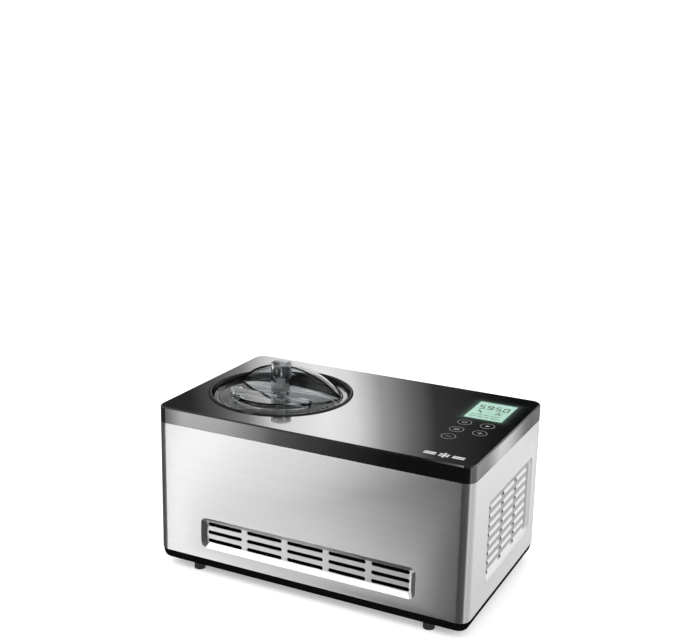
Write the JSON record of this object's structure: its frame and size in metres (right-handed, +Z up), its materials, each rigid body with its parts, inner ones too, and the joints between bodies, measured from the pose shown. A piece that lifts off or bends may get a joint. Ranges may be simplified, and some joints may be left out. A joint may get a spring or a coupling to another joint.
{
  "type": "ice cream maker",
  "caption": "Counter-top compressor ice cream maker with a lift-out bowl, mixing paddle, clear hinged-hatch lid, vented steel housing and a black control deck.",
  "frame": {"origin": "centre of the machine's footprint on the surface it stands on", "axes": "+Z up, +X to the right seen from the front, -Y is the front with the vent slots"},
  "size_m": [0.425, 0.2592, 0.2575],
  "materials": {
    "steel": "brushed sheet, satin",
    "deck_black": "high gloss",
    "pan_black": "fine texture",
    "collar_black": "satin",
    "rubber": "matte",
    "aluminium": "anodised satin",
    "bare_aluminium": "mill finish",
    "polished_steel": "bright",
    "white_plastic": "satin, food grade",
    "clear_plastic": "clear, glossy",
    "window_plastic": "clear, glossy",
    "lcd": "backlit",
    "key_black": "satin gloss",
    "board_green": "solder mask",
    "copper": "drawn tube",
    "foam": "rigid foam",
    "gear_plastic": "moulded",
    "cast_metal": "die cast",
    "motor_metal": "lacquered",
    "bronze": "sintered",
    "compressor_black": "enamel",
    "tray_grey": "moulded",
    "cable_grey": "sleeved"
  },
  "bodies": {
    "machine": {"base_pan": "pan_black", "feet": "rubber", "housing_wrap": "steel", "top_cover": "deck_black", "deck_collar": "collar_black", "collar_seal": "rubber", "freezing_well": "bare_aluminium", "evaporator_coil": "copper", "insulation": "foam", "drain_tray": "tray_grey", "display_window": "window_plastic", "display_panel": "lcd", "control_board": "board_green", "key_domes": "tray_grey", "gearbox_case": "cast_metal", "gearbox_cover": "cast_metal", "gearbox_bushes": "bronze", "idler_pin": "polished_steel", "motor_stator": "motor_metal", "compressor": "compressor_black", "compressor_mounts": "rubber", "condenser_fins": "bare_aluminium", "condenser_tube": "copper", "fan_shroud": "tray_grey", "fan_motor": "motor_metal", "filter_drier": "copper", "refrigerant_lines": "copper", "power_board": "board_green", "mains_inlet": "pan_black", "wiring": "cable_grey", "cover_screws": "polished_steel", "base_screws": "polished_steel"},
    "key_power": {"key_power": "key_black"},
    "key_start": {"key_start": "key_black"},
    "key_cool": {"key_cool": "key_black"},
    "key_longer": {"key_longer": "key_black"},
    "key_shorter": {"key_shorter": "key_black"},
    "motor_rotor": {"motor_rotor": "cast_metal", "motor_pinion": "bronze"},
    "compound_gear": {"compound_gear": "gear_plastic"},
    "output_drive": {"output_gear": "gear_plastic", "output_shaft": "polished_steel", "drive_coupling": "cast_metal"},
    "fan_rotor": {"fan_rotor": "gear_plastic"},
    "bowl": {"bowl": "aluminium", "bowl_lugs": "aluminium", "lug_rivets": "polished_steel", "spindle_bush": "white_plastic"},
    "spindle": {"spindle": "polished_steel"},
    "bail": {"bail": "polished_steel"},
    "paddle_collar": {"paddle_collar": "white_plastic"},
    "paddle": {"paddle": "white_plastic"},
    "lid_bush": {"lid_bush": "clear_plastic"},
    "lid": {"lid_shell": "clear_plastic", "hatch_pins": "polished_steel"},
    "hatch": {"hatch": "clear_plastic"}
  },
  "joints": [
    {"name": "bowl_lift", "type": "slide", "parent": "machine", "child": "bowl", "axis": [0, 0, 1], "range_m": [0, 0.185]},
    {"name": "spindle_spin", "type": "hinge", "parent": "bowl", "child": "spindle", "pos_m": [-0.1025, -0.004, 0.09], "axis": [0, 0, 1], "continuous": true},
    {"name": "bail_fold", "type": "hinge", "parent": "bowl", "child": "bail", "pos_m": [-0.1025, -0.004, 0.194], "axis": [1, 0, 0], "range_deg": [0, 90]},
    {"name": "paddle_lift", "type": "slide", "parent": "bowl", "child": "paddle_collar", "axis": [0, 0, 1], "range_m": [0, 0.192]},
    {"name": "paddle_spin", "type": "hinge", "parent": "paddle_collar", "child": "paddle", "pos_m": [-0.1025, -0.004, 0.2], "axis": [0, 0, 1], "continuous": true},
    {"name": "lid_lift", "type": "slide", "parent": "paddle_collar", "child": "lid_bush", "axis": [0, 0, 1], "range_m": [0, 0.063]},
    {"name": "lid_turn", "type": "hinge", "parent": "lid_bush", "child": "lid", "pos_m": [-0.1025, -0.004, 0.22], "axis": [0, 0, 1], "range_deg": [-18, 0]},
    {"name": "hatch_open", "type": "hinge", "parent": "lid", "child": "hatch", "pos_m": [-0.1025, -0.0295, 0.2231], "axis": [1, 0, 0], "range_deg": [-100, 0]},
    {"name": "drive_spin", "type": "hinge", "parent": "machine", "child": "output_drive", "pos_m": [-0.1025, -0.004, 0.05], "axis": [0, 0, 1], "continuous": true},
    {"name": "idler_spin", "type": "hinge", "parent": "machine", "child": "compound_gear", "pos_m": [-0.0625, -0.004, 0.05], "axis": [0, 0, 1], "continuous": true},
    {"name": "motor_spin", "type": "hinge", "parent": "machine", "child": "motor_rotor", "pos_m": [-0.0345, -0.004, 0.03], "axis": [0, 0, 1], "continuous": true},
    {"name": "fan_spin", "type": "hinge", "parent": "machine", "child": "fan_rotor", "pos_m": [0.152, 0.01, 0.1], "axis": [1, 0, 0], "continuous": true},
    {"name": "press_power", "type": "slide", "parent": "machine", "child": "key_power", "axis": [0, 0, 1], "range_m": [-0.0005, 0], "stiffness_N_per_m": 800, "springref_m": 0.0004},
    {"name": "press_start", "type": "slide", "parent": "machine", "child": "key_start", "axis": [0, 0, 1], "range_m": [-0.0005, 0], "stiffness_N_per_m": 800, "springref_m": 0.0004},
    {"name": "press_cool", "type": "slide", "parent": "machine", "child": "key_cool", "axis": [0, 0, 1], "range_m": [-0.0005, 0], "stiffness_N_per_m": 800, "springref_m": 0.0004},
    {"name": "press_longer", "type": "slide", "parent": "machine", "child": "key_longer", "axis": [0, 0, 1], "range_m": [-0.0005, 0], "stiffness_N_per_m": 800, "springref_m": 0.0004},
    {"name": "press_shorter", "type": "slide", "parent": "machine", "child": "key_shorter", "axis": [0, 0, 1], "range_m": [-0.0005, 0], "stiffness_N_per_m": 800, "springref_m": 0.0004}
  ],
  "couplings": [
    {"joint": "spindle_spin", "follows": "paddle_spin", "ratio": 1},
    {"joint": "drive_spin", "follows": "paddle_spin", "ratio": 1},
    {"joint": "idler_spin", "follows": "paddle_spin", "ratio": -4},
    {"joint": "motor_spin", "follows": "paddle_spin", "ratio": 16},
    {"joint": "bail_fold", "follows": "lid_lift", "rad_per_m": 24.93}
  ]
}
